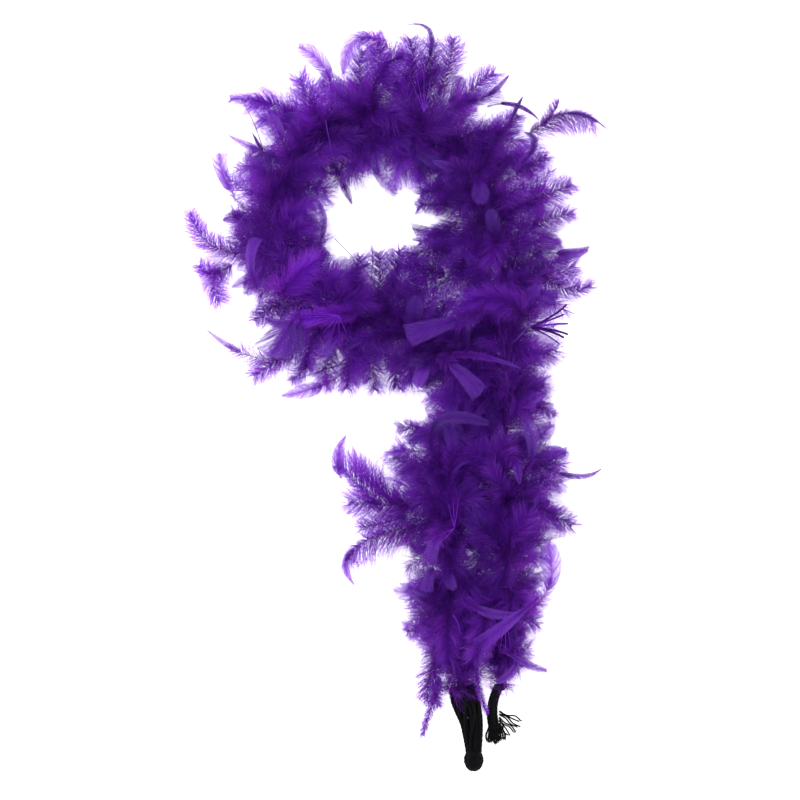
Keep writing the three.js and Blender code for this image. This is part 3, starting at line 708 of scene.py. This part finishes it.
# kind, down, vane, vane starts, thickness, tint, roll, start, middle, tip
LAID = [
    # over the top of the loop
    ("round", 6, 12, 0.36, 1, 0.8, 0, (-80, 346, 60), (-86, 392, 72), (-120, 422, 62)),
    ("pointed", 20, 13, 0.42, 0.95, 0.75, 0, (6, 404, 60), (-46, 430, 72), (-66, 386, 58)),
    fluff(28, 0.72, (-104, 322, 44), (-142, 352, 52), (-178, 356, 38)),
    fluff(24, 0.7, (-112, 314, 40), (-144, 332, 48), (-168, 338, 34)),
    fluff(12, 0.7, (-150, 354, 40), (-178, 360, 46), (-202, 362, 36)),
    fluff(28, 0.82, (-88, 326, 60), (-106, 358, 72), (-118, 386, 52)),
    ("pointed", 10, 6, 0.45, 0.8, 0.7, 0, (-136, 289, 40), (-172, 302, 44), (-205, 319, 40)),
    ("pointed", 2, 4, 0.3, 1.1, 0.12, 60, (-158, 289, 50), (-166, 304, 54), (-175, 321, 50)),
    ("flat", 6, 11, 0.36, 0.95, 0.8, 0, (-184, 230, 45), (-206, 262, 55), (-214, 298, 50)),
    ("round", 12, 9, 0.45, 0.8, 0.6, 0, (-56, 302, 50), (-30, 276, 58), (-2, 246, 40)),
    fluff(26, 0.6, (-36, 346, 50), (-46, 386, 60), (-42, 420, 44)),
    fluff(26, 0.55, (12, 366, 45), (17, 404, 56), (13, 434, 40)),
    ("pointed", 4, 4, 0.2, 1, 0.2, 20, (32, 396, 60), (38, 438, 64), (8, 449, 50)),
    fluff(20, 0.65, (-14, 372, 60), (-22, 408, 66), (-28, 438, 44)),
    fluff(22, 0.6, (28, 366, 50), (38, 404, 58), (40, 432, 40)),
    fluff(24, 0.55, (48, 366, 40), (60, 402, 48), (66, 436, 34)),
    fluff(22, 0.6, (-30, 345, 60), (-24, 385, 76), (8, 412, 58), roll=20),
    # the shoulder, and the long feather that crosses it
    fluff(24, 0.7, (70, 346, 50), (92, 374, 60), (116, 392, 46)),
    ("flat", 18, 15, 0.35, 0.8, 0.72, 0, (58, 346, 56), (92, 358, 66), (124, 370, 54)),
    ("pointed", 8, 5, 0.45, 0.95, 0.3, 0, (78, 356, 62), (106, 362, 72), (133, 390, 58)),
    fluff(34, 0.5, (156, 320, 44), (202, 342, 56), (236, 332, 46), kind="right"),
    fluff(12, 0.5, (172, 330, 44), (184, 344, 50), (192, 360, 38), kind="left"),
    ("pointed", 3, 3, 0.3, 1, 0.15, 0, (176, 336, 58), (216, 341, 60), (252, 322, 46)),
    ("pointed", 3, 4, 0.25, 1.1, 0.1, 50, (131, 327, 70), (139, 345, 78), (148, 362, 66)),
    ("pointed", 3, 4, 0.25, 1.1, 0.12, 30, (104, 348, 74), (137, 350, 80), (168, 332, 70)),
    fluff(20, 0.5, (112, 308, 50), (130, 326, 56), (144, 342, 44)),
    ("round", 4, 5, 0.25, 1.1, 0.2, 30, (146, 282, 66), (161, 304, 74), (150, 320, 60)),
    fluff(16, 0.55, (140, 270, 50), (160, 282, 60), (178, 291, 44)),
    fluff(24, 0.6, (150, 236, 50), (184, 248, 60), (208, 260, 40)),
    fluff(18, 0.65, (158, 208, 50), (187, 219, 58), (211, 224, 38)),
    ("pointed", 20, 9, 0.5, 1.05, 0.45, 0, (150, 196, 40), (192, 176, 48), (230, 186, 36)),
    fluff(16, 0.5, (60, 234, 50), (38, 234, 56), (22, 232, 40)),
    fluff(16, 0.45, (60, 256, 50), (40, 250, 58), (26, 246, 40)),
    # the left and lower side of the loop
    fluff(22, 0.8, (-192, 176, 40), (-228, 190, 46), (-250, 226, 34)),
    fluff(20, 0.8, (-200, 164, 36), (-222, 152, 42), (-240, 164, 30)),
    fluff(22, 0.8, (-214, 160, 34), (-222, 140, 38), (-214, 118, 28)),
    ("flat", 10, 9, 0.35, 0.9, 0.7, 0, (-162, 122, 66), (-175, 160, 76), (-168, 196, 60)),
    ("pointed", 6, 10, 0.3, 0.75, 0.75, 0, (-158, 156, 50), (-180, 144, 54), (-200, 136, 44)),
    fluff(28, 0.92, (-142, 124, 60), (-122, 146, 88), (-100, 164, 78), roll=25),
    fluff(15, 0.85, (-50, 104, 66), (-84, 101, 84), (-122, 97, 68)),
    ("pointed", 18, 5, 0.55, 0.9, 0.6, 0, (-128, 50, 40), (-178, 54, 46), (-232, 87, 36)),
    fluff(22, 0.65, (-120, 62, 40), (-152, 44, 44), (-174, 30, 30)),
    ("pointed", 16, 12, 0.4, 0.9, 0.85, 0, (-62, 38, 50), (-92, 18, 54), (-142, 6, 40)),
    fluff(22, 0.6, (-58, 56, 40), (-60, 34, 46), (-62, 14, 30)),
    fluff(16, 0.6, (-100, 52, 40), (-116, 36, 42), (-128, 24, 30)),
    fluff(18, 0.55, (-140, 116, 40), (-158, 108, 44), (-172, 96, 32)),
    fluff(22, 0.55, (-28, 54, 40), (-30, 32, 46), (-28, 12, 30)),
    fluff(18, 0.55, (0, 48, 40), (-4, 28, 46), (2, 14, 30)),
    ("pointed", 3, 4, 0.25, 1.1, 0.25, 30, (-64, 145, 50), (-50, 156, 56), (-32, 165, 48)),
    ("round", 6, 5, 0.25, 0.9, 0.4, 30, (-98, 180, 50), (-89, 208, 58), (-95, 237, 50)),
    fluff(20, 0.5, (-48, 116, 45), (-50, 146, 56), (-46, 174, 36)),
    fluff(24, 0.45, (-24, 112, 45), (-22, 146, 56), (-24, 178, 36)),
    fluff(22, 0.45, (0, 118, 45), (-2, 152, 52), (2, 182, 36)),
    fluff(18, 0.4, (66, 186, 50), (36, 178, 60), (4, 172, 42)),
    fluff(20, 0.45, (56, 150, 50), (24, 158, 60), (-4, 160, 42)),
    fluff(18, 0.5, (70, 214, 44), (48, 198, 52), (24, 190, 38)),
    fluff(22, 0.4, (30, 120, 44), (20, 144, 56), (24, 172, 40)),
    ("flat", 10, 26, 0.25, 1.2, 0.55, 0, (-116, 108, 80), (-132, 82, 90), (-152, 52, 74)),
    ("flat", 6, 22, 0.25, 1.1, 0.45, 0, (-108, 106, 68), (-124, 80, 76), (-138, 50, 62)),
    fluff(26, 0.5, (72, 196, 44), (46, 170, 52), (30, 142, 40)),
    fluff(24, 0.45, (92, 172, 44), (62, 150, 50), (38, 128, 38)),
    fluff(24, 0.55, (-84, 100, 50), (-102, 70, 58), (-112, 40, 40)),
    fluff(22, 0.45, (-72, 86, 50), (-84, 50, 56), (-88, 18, 36)),
    # where the strands meet, and the right side of the stem
    fluff(19, 0.55, (164, 160, 40), (200, 134, 46), (232, 140, 34)),
    ("flat", 18, 15, 0.38, 0.98, 0.66, 0, (104, 108, 78), (58, 92, 92), (7, 76, 78)),
    ("flat", 12, 13, 0.3, 0.98, 0.6, 0, (44, 54, 80), (70, 36, 90), (98, 6, 76)),
    ("pointed", 6, 3, 0.55, 1, 0.66, 20, (60, 54, 86), (100, 52, 92), (146, 38, 78)),
    fluff(24, 0.6, (150, 100, 70), (120, 120, 88), (84, 118, 74)),
    fluff(14, 0.6, (140, 20, 40), (158, 20, 48), (172, 14, 32)),
    fluff(14, 0.55, (146, 2, 40), (170, -8, 46), (188, -18, 30)),
    ("round", 8, 10, 0.3, 1, 0.45, 10, (148, -86, 60), (160, -52, 68), (148, -20, 54)),
    fluff(14, 0.55, (152, -78, 40), (178, -70, 46), (202, -60, 32)),
    ("pointed", 10, 5, 0.4, 1, 0.4, 0, (160, -72, 46), (210, -90, 52), (244, -80, 40)),
    ("round", 10, 8, 0.25, 1.05, 0.22, 0, (40, -62, 80), (50, -22, 92), (108, -27, 76)),
    fluff(26, 0.45, (140, -112, 50), (178, -132, 62), (208, -150, 40)),
    ("round", 14, 14, 0.4, 0.95, 0.78, 0, (152, -252, 60), (179, -218, 66), (178, -168, 50)),
    # the left side of the stem
    fluff(18, 0.45, (48, -44, 45), (20, -34, 52), (0, -32, 36)),
    fluff(40, 0.72, (-20, -132, 44), (-56, -92, 54), (-76, -78, 44), kind="right"),
    fluff(32, 0.66, (2, -124, 40), (-30, -100, 48), (-54, -78, 36), kind="right"),
    fluff(24, 0.45, (42, -88, 40), (18, -78, 46), (-8, -66, 34)),
    ("pointed", 6, 10, 0.1, 0.9, 0.7, 0, (-68, -94, 46), (-72, -66, 50), (-62, -40, 42)),
    fluff(32, 0.62, (14, -126, 45), (-24, -122, 54), (-60, -122, 38)),
    fluff(20, 0.5, (10, -138, 36), (-20, -146, 42), (-46, -152, 28)),
    fluff(38, 0.6, (22, -152, 50), (-26, -160, 56), (-62, -186, 44), kind="left"),
    ("left", 30, 6, 0.2, 0.9, 0.66, 0, (-50, -178, 46), (-64, -194, 48), (-52, -222, 36)),
    fluff(22, 0.45, (60, -178, 50), (62, -202, 60), (62, -222, 44)),
    fluff(22, 0.4, (98, -176, 40), (94, -202, 46), (94, -224, 34)),
    fluff(22, 0.45, (130, -178, 50), (126, -204, 60), (122, -226, 44)),
    # the lower stem and the tails
    ("pointed", 8, 8, 0.28, 1, 0.6, 0, (74, -232, 82), (108, -250, 90), (143, -250, 78)),
    ("flat", 5, 11, 0.25, 1, 0.8, 0, (166, -232, 78), (128, -262, 91), (90, -292, 80)),
    ("round", 5, 5, 0.35, 0.95, 0.62, 0, (114, -286, 60), (146, -309, 66), (178, -322, 50)),
    ("round", 6, 6, 0.3, 0.95, 0.66, 10, (140, -292, 60), (138, -318, 62), (116, -336, 50)),
    fluff(18, 0.5, (56, -262, 40), (30, -270, 48), (10, -278, 32)),
    fluff(22, 0.5, (56, -290, 40), (38, -326, 48), (34, -362, 30)),
    fluff(13, 0.5, (46, -306, 40), (44, -338, 42), (48, -368, 28)),
    fluff(9, 0.55, (50, -332, 36), (38, -370, 38), (28, -404, 26)),
    fluff(6, 0.75, (92, -314, 50), (97, -346, 46), (107, -376, 34)),
    fluff(22, 0.6, (104, -250, 70), (98, -282, 84), (88, -310, 60)),
    fluff(20, 0.55, (60, -252, 60), (58, -286, 74), (60, -312, 50)),
]

LAYER_ROLL = 16  # down is laid in two layers, rolled this far apart from the row's own roll
for laid_number, (kind, down, vane, firm_from, thickness, tint, roll, *places) in enumerate(LAID):
    start, middle, tip = (np.array(place) * MM for place in places)
    rng = np.random.default_rng(900 + laid_number)
    plume_parts = nearest_plume(start)["parts"]
    for layer_roll in (roll - LAYER_ROLL, roll + LAYER_ROLL)[: 1 if vane else 2]:
        path = drawn_path(start, middle, tip, layer_roll)
        length = float(distances(path[0])[QUILL_STEPS])
        reach = (down * MM, vane * MM)
        plume_parts += feather_parts(rng, kind, path, length, *reach, tint, thickness, firm_from)
print("feathers laid by hand:", len(LAID))

# %% Bare quills and bristles
# tint, height in the layout, thickness, taper, start, middle, tip
BARE = [
    (0.3, 0.2, 0.6, 0.5, (-162, 300, 50), (-171, 328, 56), (-186, 357, 48)),
    (0.8, 0.9, 0.5, 0.5, (-86, 331, 84), (-82, 310, 88), (-78, 290, 80)),
    (0.2, 0.15, 0.6, 0.5, (-60, 46, 60), (-97, 34, 62), (-134, 21, 50)),
    (0.3, 0.2, 0.5, 0.5, (-76, 194, 50), (-56, 174, 52), (-34, 158, 44)),
    (0.3, 0.2, 0.5, 0.5, (-33, 144, 50), (-31, 170, 52), (-34, 194, 44)),
    (0.85, 0.9, 0.5, 0.5, (160, 97, 84), (146, 80, 88), (132, 66, 80)),
    (0.85, 0.9, 0.5, 0.5, (64, -252, 84), (70, -262, 86), (73, -276, 80)),
    (0.55, 0.15, 1.3, 0.1, (158, 88, 62), (184, 102, 68), (200, 115, 62)),
    (0.75, 0.3, 1.2, 0.1, (158, 88, 64), (182, 97, 68), (197, 103, 62)),
    (0.85, 0.9, 1.3, 0.1, (158, 88, 62), (184, 91, 66), (202, 92, 60)),
    (0.55, 0.15, 1.4, 0.1, (158, 88, 62), (184, 84, 66), (202, 79, 60)),
    (0.4, 0.15, 1.4, 0.1, (158, 88, 64), (181, 82, 68), (197, 75, 62)),
    (0.7, 0.3, 1.1, 0.3, (158, 87, 62), (178, 77, 66), (192, 67, 60)),
]
# Fans of pale barbs that stand up out of the pile: the middle, and the tips round it.
FANS = [
    (
        (-70, 101, 86),
        [(-116, 108), (-118, 103), (-117, 98), (-113, 91), (-108, 86)]
        + [(-90, 79), (-80, 75), (-70, 75), (-61, 78)],
    ),
    ((30, 340, 90), [(12, 384), (20, 390), (30, 389), (40, 385), (48, 376)]),
    ((126, -252, 86), [(112, -292), (119, -296), (126, -297), (133, -294)]),
    ((66, -150, 84), [(58, -120), (64, -112), (71, -114), (44, -160), (46, -170)]),
]
for middle, tips in FANS:
    for x, y in tips:
        halfway = ((middle[0] + x) / 2, (middle[1] + y) / 2, middle[2] + 6)
        BARE.append((0.80, 0.62, 0.4, 0.6, middle, halfway, (x, y, middle[2] - 2)))


for tint, height, thick, taper, *places in BARE:
    start, middle, tip = (np.array(place) * MM for place in places)
    path = drawn_path(start, middle, tip, 0)
    length = float(distances(path[0])[QUILL_STEPS])
    part = quill_part(path, length, tint, thick * MM, height, height, taper)
    nearest_plume(start)["parts"].append(part)
print("bare quills:", len(BARE))

# %% Make the pieces
plume_faces = []
for number, plume in enumerate(plumes, 1):
    parts = [(settled(points), faces, places) for points, faces, places in plume["parts"]]
    piece = mesh_piece(f"plume_{number:02d}_feathers", parts, FEATHER)
    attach(piece, plume["body"])
    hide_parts(f"plume_{number:02d}")
    plume_faces.append(len(piece.data.polygons))
print("faces of the plumes:", sum(plume_faces), "and of the largest:", max(plume_faces))

# %% [markdown]
# ## Black yarn
#
# The cord is four plies of black yarn laid round each other, and the same yarn shows bare at both ends.
# A ply doesn't need its own tube: a cross-section with four lobes, turned a little at every ring, draws
# the same rope. The fibres are a fine noise stretched along the yarn, in colour and in bump.

# %% Yarn material
def yarn_material(name, dark, light, roughness):
    """A dull yarn with fibres between a dark and a light colour."""
    material, add = new_material(name)
    layout, _, _ = layout_axes(add)
    stretched = add("Mapping", {"Vector": layout, "Scale": (26, 5, 1)})
    fibres = add("TexNoise", {"Vector": stretched, "Scale": 3, "Detail": 5})
    bump = add("Bump", {"Height": fibres, "Strength": 0.6, "Distance": 0.4 * MM})
    colour = colour_ramp(add, fibres, [(0.3, dark), (0.75, light)])
    dullness = {"Roughness": spread(add, fibres, roughness, roughness + 0.2), "Specular IOR Level": 0.08}
    yarn = add("BsdfPrincipled", {"Base Color": colour, "Normal": bump, "Sheen Weight": 0.02, **dullness})
    add("OutputMaterial", {"Surface": yarn})
    return material


YARN = yarn_material("black_yarn", (0.0010, 0.0009, 0.0018), (0.0042, 0.0038, 0.0060), 0.65)
THREAD = yarn_material("violet_thread", (0.012, 0.003, 0.030), (0.045, 0.010, 0.110), 0.45)
print("yarn materials:", YARN.name, "and", THREAD.name)

# %% A twisted yarn along a line
LAYOUT_RINGS = 24  # the layout starts again after this many rings
PLY_GROOVE = 0.22
FIBRE_WIDTH, FIBRE_STEPS = 0.22 * MM, 4
LOWEST_FIBRE = 0.6 * MM


def frames_along(line):
    """Two sides at each point of a line, turned as little as possible."""
    headings = unit(np.gradient(line, axis=0))
    first = np.cross(headings[0], UP)
    side = unit(first) if np.linalg.norm(first) > 0.1 else np.array([1.0, 0, 0])
    sides = carried(side, headings)
    return sides, np.cross(headings, sides)


def rings_round(middle, radius, columns):
    """The points of a tube round a line, with its own radius at each of them."""
    side, face = frames_along(middle)
    turn = np.arange(columns) / columns * 2 * math.pi
    ring = side[:, None] * np.cos(turn)[None, :, None] + face[:, None] * np.sin(turn)[None, :, None]
    return (middle[:, None] + ring * radius[..., None]).reshape(-1, 3)


def tube_layout(rows, columns, tall):
    """Layout places of a tube's faces, from the numbers of its rings. This many rings fill the layout."""
    row, column = np.meshgrid(rows, np.arange(columns), indexing="ij")
    corners = [(column, row), (column + 1, row), (column + 1, row + 1), (column, row + 1)]
    places = [np.stack([u / columns, v / tall], axis=-1) for u, v in corners]
    return np.stack(places, axis=2).reshape(-1, 2)


def yarn_part(line, radius, plies=2, lay=5.0, detail=6, round_ends=True):
    """A twisted yarn through these points. lay is the length of one ply's turn, in yarn diameters."""
    line = np.array(line, float)
    along = distances(line)
    rings = max(6, round(along[-1] / (radius * 0.55)))
    where = np.linspace(0, along[-1], rings)
    columns = detail * plies
    turn = np.arange(columns) / columns * 2 * math.pi
    twist = where / (2 * radius * lay) * 2 * math.pi
    lobe = 1 - PLY_GROOVE * (1 - np.abs(np.cos(plies * (turn[None] - twist[:, None]) / 2)))
    size = np.full(rings, radius)
    if round_ends:
        to_end = np.minimum(where, along[-1] - where)
        size = radius * np.sqrt(np.clip(1 - (1 - np.clip(to_end / radius, 0, 1)) ** 2, 0.02, 1))
    tube = rings_round(at_distance(line, along, where), lobe * size[:, None], columns)
    places = tube_layout(np.arange(rings - 1) % LAYOUT_RINGS, columns, LAYOUT_RINGS)
    return tube, strip_faces(rings, columns, closed=True), places


def fibres_part(rng, starts, ways, lengths, width=FIBRE_WIDTH):
    """Single loose fibres: thin, bent ribbons that start at places and leave in given ways."""
    count, steps = len(starts), FIBRE_STEPS
    q = np.linspace(0, 1, steps + 1)[None, :, None]
    bend = unit(rng.normal(size=(count, 3)))[:, None]
    line = starts[:, None] + (ways[:, None] * q + bend * q**2 * 0.35) * lengths[:, None, None]
    line[..., 2] = np.maximum(line[..., 2], LOWEST_FIBRE)
    across = unit(np.cross(ways, rng.normal(size=(count, 3))))[:, None] * width / 2 * (1 - 0.6 * q)
    ribbons = np.stack([line - across, line + across], axis=2)
    faces = strip_faces(steps + 1, 2, count)
    places = np.empty((count, steps + 1, 2, 2))
    places[..., 0] = rng.uniform(0, 0.95, (count, 1, 1)) + np.array([0, 0.02])
    places[..., 1] = q * 0.5 + 0.2
    return ribbons.reshape(-1, 3), faces, places.reshape(-1, 2)[faces.ravel()]


def yarn_piece(name, parts, body, replaced, material=YARN):
    """One object from yarn parts, on its body and in place of its CAD node."""
    piece = mesh_piece(name, parts, material)
    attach(piece, body)
    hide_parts(replaced)
    return piece


# %% The cord, one piece for each stretch
CORD_DIAMETER = 0.009
cord_pieces = {}
for name, body, start, end, _, _ in STRETCHES:
    inside = (core_along > start) & (core_along < end)
    ends = at_distance(core, core_along, np.array([start, end]))
    line = np.vstack([ends[:1], core[inside], ends[1:]])
    part = yarn_part(line, CORD_DIAMETER / 2, plies=4, lay=4.5, detail=5)
    cord_pieces[name] = (yarn_piece(f"core_{name}_yarn", [part], body, f"core_cord_{name}"), line)
    print(name, "cord:", round(distances(line)[-1], 4), "m,", len(part[1]), "faces")

# %% [markdown]
# ## Thread whippings
#
# Where the feathers stop, thread is wound tightly round the cord so that it doesn't unwind. It is one
# row of turns side by side, so a tube whose radius ripples once a turn gives the same surface.

# %% Wind the two whippings
WHIPPING_LENGTH = 7 * MM
WHIPPING_RADIUS = 6.6 * MM
THREAD_RIPPLE = 0.25 * MM
THREAD_TURNS = 11
RINGS_PER_TURN, THREAD_COLUMNS = 6, 24
ENDS_DRAWN_IN = 1.6 * MM
whippings = {}
for tail in ("left_tail", "right_tail"):
    low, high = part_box(f"end_whipping_{tail}")
    middle = (np.array(low) + np.array(high)) / 2
    at = core_along[np.argmin(np.linalg.norm(core - middle, axis=1))]
    at = np.clip(at, WHIPPING_LENGTH / 2, CORE_LENGTH - WHIPPING_LENGTH / 2)
    rings = THREAD_TURNS * RINGS_PER_TURN + 1
    share = np.linspace(0, 1, rings)
    line = at_distance(core, core_along, at + (share - 0.5) * WHIPPING_LENGTH)
    radius = WHIPPING_RADIUS - THREAD_RIPPLE * (1 - np.abs(np.sin(share * THREAD_TURNS * math.pi)))
    radius = radius - ENDS_DRAWN_IN * np.abs(2 * share - 1) ** 8
    tube = rings_round(line, radius[:, None], THREAD_COLUMNS)
    places = tube_layout(np.arange(rings - 1), THREAD_COLUMNS, rings)
    parts = [(tube, strip_faces(rings, THREAD_COLUMNS, closed=True), places)]
    piece = yarn_piece(f"whipping_{tail}_thread", parts, tail, f"end_whipping_{tail}", THREAD)
    whippings[tail] = piece
print("thread turns on each whipping:", THREAD_TURNS)

# %% [markdown]
# ## The looped end
#
# At one end the yarn is folded back on itself into a bundle and tied into a knot. The bundle is many
# single yarns side by side: wide where they fold back, and drawn in to a neck at the knot. The knot is
# a few turns of the same yarn round themselves, pulled tight into a bulb.

# %% The folded bundle
BUNDLE_PATH = [
    (77, -341, 33),
    (83, -362, 25),
    (88, -383, 15),
    (90, -402, 10),
    (91, -417, 9),
    (91.5, -427, 9),
]
BUNDLE_WIDTHS = [36, 42, 38, 31, 26, 21]
BUNDLE_HEIGHTS = [15, 18, 17, 15, 14, 13]
BUNDLE_YARNS, BUNDLE_YARN_RADIUS = 30, 1.9 * MM
BUNDLE_HAIRS = 140
rng = np.random.default_rng(7)


def bundle_parts(path, widths, heights, count, radius, turn_over):
    """Yarns side by side along a path, turned over on the way. widths and heights go from start to end."""
    line = smooth_line(np.array(path) * MM, 8)
    along = distances(line)
    side, face = frames_along(line)
    share = along / along[-1]
    half_width = np.interp(share, np.linspace(0, 1, len(widths)), widths) * MM / 2 - radius
    half_height = np.interp(share, np.linspace(0, 1, len(heights)), heights) * MM / 2 - radius
    parts = []
    for i in range(count):
        out = math.sqrt((i + 0.5) / count)
        angle = i * GOLDEN_TURN + turn_over * share + 0.25 * np.sin(share * 5 + i)
        across = (half_width * out * np.cos(angle))[:, None] * side
        above = (half_height * out * np.sin(angle))[:, None] * face
        strand = line + across + above
        strand[:, 2] = np.maximum(strand[:, 2], radius)
        parts.append(yarn_part(strand, radius, lay=3.2))
    return parts, line


def bundle_hairs(line, count, way, apart, lengths):
    """Loose fibres that stand off a bundle. apart is how far from its middle line they start."""
    pick = line[rng.integers(4, len(line), count)]
    ways = unit(rng.normal(size=(count, 3)) * (1, 0.6, 0.5) + way)
    apart = np.array(apart) * MM
    return fibres_part(rng, pick + ways * apart, ways, rng.uniform(*lengths, count) * MM)


bundle_size = (BUNDLE_WIDTHS, BUNDLE_HEIGHTS, BUNDLE_YARNS, BUNDLE_YARN_RADIUS)
parts, bundle_line = bundle_parts(BUNDLE_PATH, *bundle_size, turn_over=0.7)
parts.append(bundle_hairs(bundle_line, BUNDLE_HAIRS, (0, 0, 0), (8, 4, 4), (4, 11)))
bundle = yarn_piece("folded_bundle_yarns", parts, "looped_end", "folded_yarn_bundle")
print("yarns in the folded bundle:", BUNDLE_YARNS)

# %% The knot
KNOT_CENTRE = np.array((91, -434, 9.5)) * MM
KNOT_RADII = np.array((11.8, 14.0, 9.2)) * MM
KNOT_YARN = 2.4 * MM
KNOT_HAIRS = 40
# the way a turn's axis points, and how far along it the turn lies, as a share of the knot
KNOT_TURNS = [
    ((0.1, 1.0, 0.1), -0.70),
    ((0.15, 1.0, 0.2), -0.35),
    ((-0.2, 1.0, 0.15), 0.0),
    ((0.25, 1.0, -0.2), 0.35),
    ((-0.1, 1.0, 0.1), 0.70),
    ((1.0, 0.55, 0.3), 0.15),
    ((-1.0, 0.6, 0.4), 0.10),
    ((0.9, 0.1, 0.8), 0.2),
    ((-0.9, 0.2, 0.7), 0.2),
    ((0.2, 0.3, 1.0), 0.0),
]


def knot_yarn(shape, inside, radius):
    """A yarn of the knot, from a line on a ball. inside is how deep it lies, in yarn radii."""
    line = KNOT_CENTRE + shape * (KNOT_RADII - inside * KNOT_YARN)
    return yarn_part(line, radius, lay=3.0, round_ends=False)


parts = []
around = np.linspace(0, 2 * math.pi, 49)
for axis, offset in KNOT_TURNS:
    axis = unit(np.array(axis))
    first = unit(np.cross(axis, (0.3, 0.2, 1.0)))
    second = np.cross(axis, first)
    circle = first * np.cos(around)[:, None] + second * np.sin(around)[:, None]
    parts.append(knot_yarn(circle * math.sqrt(1 - offset**2) + axis * offset, 0.8, KNOT_YARN))
# thicker yarns under them, which fill the ball
tilt = np.linspace(-math.pi / 2, math.pi / 2, 25)
for angle in np.linspace(0, math.pi, 7)[:-1]:
    ball = np.stack([np.cos(tilt) * math.cos(angle), np.sin(tilt), np.cos(tilt) * math.sin(angle)], axis=-1)
    ball = np.vstack([ball, (ball * (-1, 1, -1))[::-1][1:]])
    parts.append(knot_yarn(ball, 1.7, KNOT_YARN * 1.2))
ways = unit(rng.normal(size=(KNOT_HAIRS, 3)) * (0.7, 1, 0.4) - (0, 0.6, 0))
ways[:, 2] = np.abs(ways[:, 2])
starts = KNOT_CENTRE + ways * KNOT_RADII * 0.9
parts.append(fibres_part(rng, starts, ways, rng.uniform(3, 8, KNOT_HAIRS) * MM))
knot = yarn_piece("end_knot_yarns", parts, "looped_end", "end_knot")
print("yarns in the knot:", len(parts) - 1)

# %% [markdown]
# ## The cut end
#
# At the other end the same yarns are simply cut. They hang together for a few centimetres and then fan
# out. Every loose yarn is its own piece, because each has its own CAD node. Dyed cotton doesn't stay
# together where it is cut, so each tip swells into a small brush of fibres.

# %% The tassel
TASSEL_PATH = [(120, -342, 33), (114, -362, 23), (113, -379, 13), (116, -396, 6.5)]
TASSEL_WIDTHS = [14, 15, 15, 16]
TASSEL_HEIGHTS = [11, 12, 12, 11]
TASSEL_YARNS, TASSEL_YARN_RADIUS = 12, 1.7 * MM
TASSEL_HAIRS = 70
tassel_size = (TASSEL_WIDTHS, TASSEL_HEIGHTS, TASSEL_YARNS, TASSEL_YARN_RADIUS)
parts, tassel_line = bundle_parts(TASSEL_PATH, *tassel_size, turn_over=0.5)
parts.append(bundle_hairs(tassel_line, TASSEL_HAIRS, (0, -0.6, 0), (4, 4, 3), (4, 10)))
tassel = yarn_piece("tassel_yarns", parts, "cut_end", "tassel_yarn_bundle")
print("yarns in the tassel:", TASSEL_YARNS)

# %% The loose yarns
LOOSE_RADIUS, SIDE_RADIUS = 1.3 * MM, 1.0 * MM
YARNS_APART = 2.0 * MM
BRUSH_FIBRES, BRUSH_WIDTH = 26, 0.4 * MM
BRUSH_DEPTH = 1.2 * MM
FRAY_START = (116.5, -390, 6.5)
FRAY_PITCH = 2.8


def loose_yarn_parts(start, tip, yarns, radius, wave):
    """Thin, wavy yarns side by side that end in small brushes."""
    parts = []
    middle = (start + tip) / 2 + (0, 0, 2 * MM)
    across = unit(np.cross(tip - start, UP))
    for i in range(yarns):
        shift = across * (i - (yarns - 1) / 2) * YARNS_APART
        longer = 1 + 0.10 * math.sin(7 * i + start[0] * 900)
        end = start + (tip - start) * longer + shift
        end[2] = radius
        way = end - start
        one, two = start + way * 0.35, start + way * 0.7
        swing = across * wave * math.sin(5 * i + start[1] * 700)
        places = [start + shift * 0.4, one + shift * 0.6 + swing, two + shift * 0.8 - swing, end]
        parts.append(yarn_part(smooth_line(places, 10), radius, lay=2.6))
        brush_way = unit(end - middle)
        ways = unit(brush_way + rng.normal(size=(BRUSH_FIBRES, 3)) * (0.5, 0.5, 0.15))
        ways[:, 2] = np.abs(ways[:, 2])
        roots = np.repeat((end - brush_way * BRUSH_DEPTH)[None], BRUSH_FIBRES, axis=0)
        lengths = rng.uniform(1.8, 3.6, BRUSH_FIBRES) * MM
        parts.append(fibres_part(rng, roots, ways, lengths, BRUSH_WIDTH))
    return parts


loose = []
for i in range(1, 5):
    low, high = (np.array(corner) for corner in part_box(f"frayed_tip_{i}"))
    start = (np.array(FRAY_START) + ((i - 2.5) * FRAY_PITCH, 0, 0)) * MM
    tip_x = low[0] + LOOSE_RADIUS if i <= 2 else high[0] - LOOSE_RADIUS
    tip = np.array([tip_x, low[1], LOOSE_RADIUS])
    parts = loose_yarn_parts(start, tip, 4, LOOSE_RADIUS, 0.2 * MM)
    loose.append(yarn_piece(f"frayed_tip_{i}_yarn", parts, "cut_end", f"frayed_tip_{i}"))
for i in range(1, 5):
    low, high = (np.array(corner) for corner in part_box(f"side_yarn_{i}"))
    start = np.array([low[0] - 5 * MM, high[1], high[2] - LOOSE_RADIUS])
    tip = np.array([high[0], low[1], LOOSE_RADIUS])
    parts = loose_yarn_parts(start, tip, 2, SIDE_RADIUS, 1.6 * MM)
    loose.append(yarn_piece(f"side_yarn_{i}_yarn", parts, "cut_end", f"side_yarn_{i}"))
print("loose yarn pieces:", len(loose))

# %% [markdown]
# ## What the cord is
#
# The cord is soft. For each stretch the code below works out what holds its far end and prints it: the
# stretches inside the boa go on into the next one, and the two tails end in the knot and in the cut.

# %% Say what each stretch of cord is
for name, (piece, line) in cord_pieces.items():
    far_end, held = "object", []
    if name == "left_tail":
        far_end, held = "knot", [whippings["left_tail"], bundle, knot]
    if name == "right_tail":
        far_end, held = "bare", [whippings["right_tail"], tassel, *loose]
    float(distances(line)[-1])
    print(name, "goes on to", far_end)
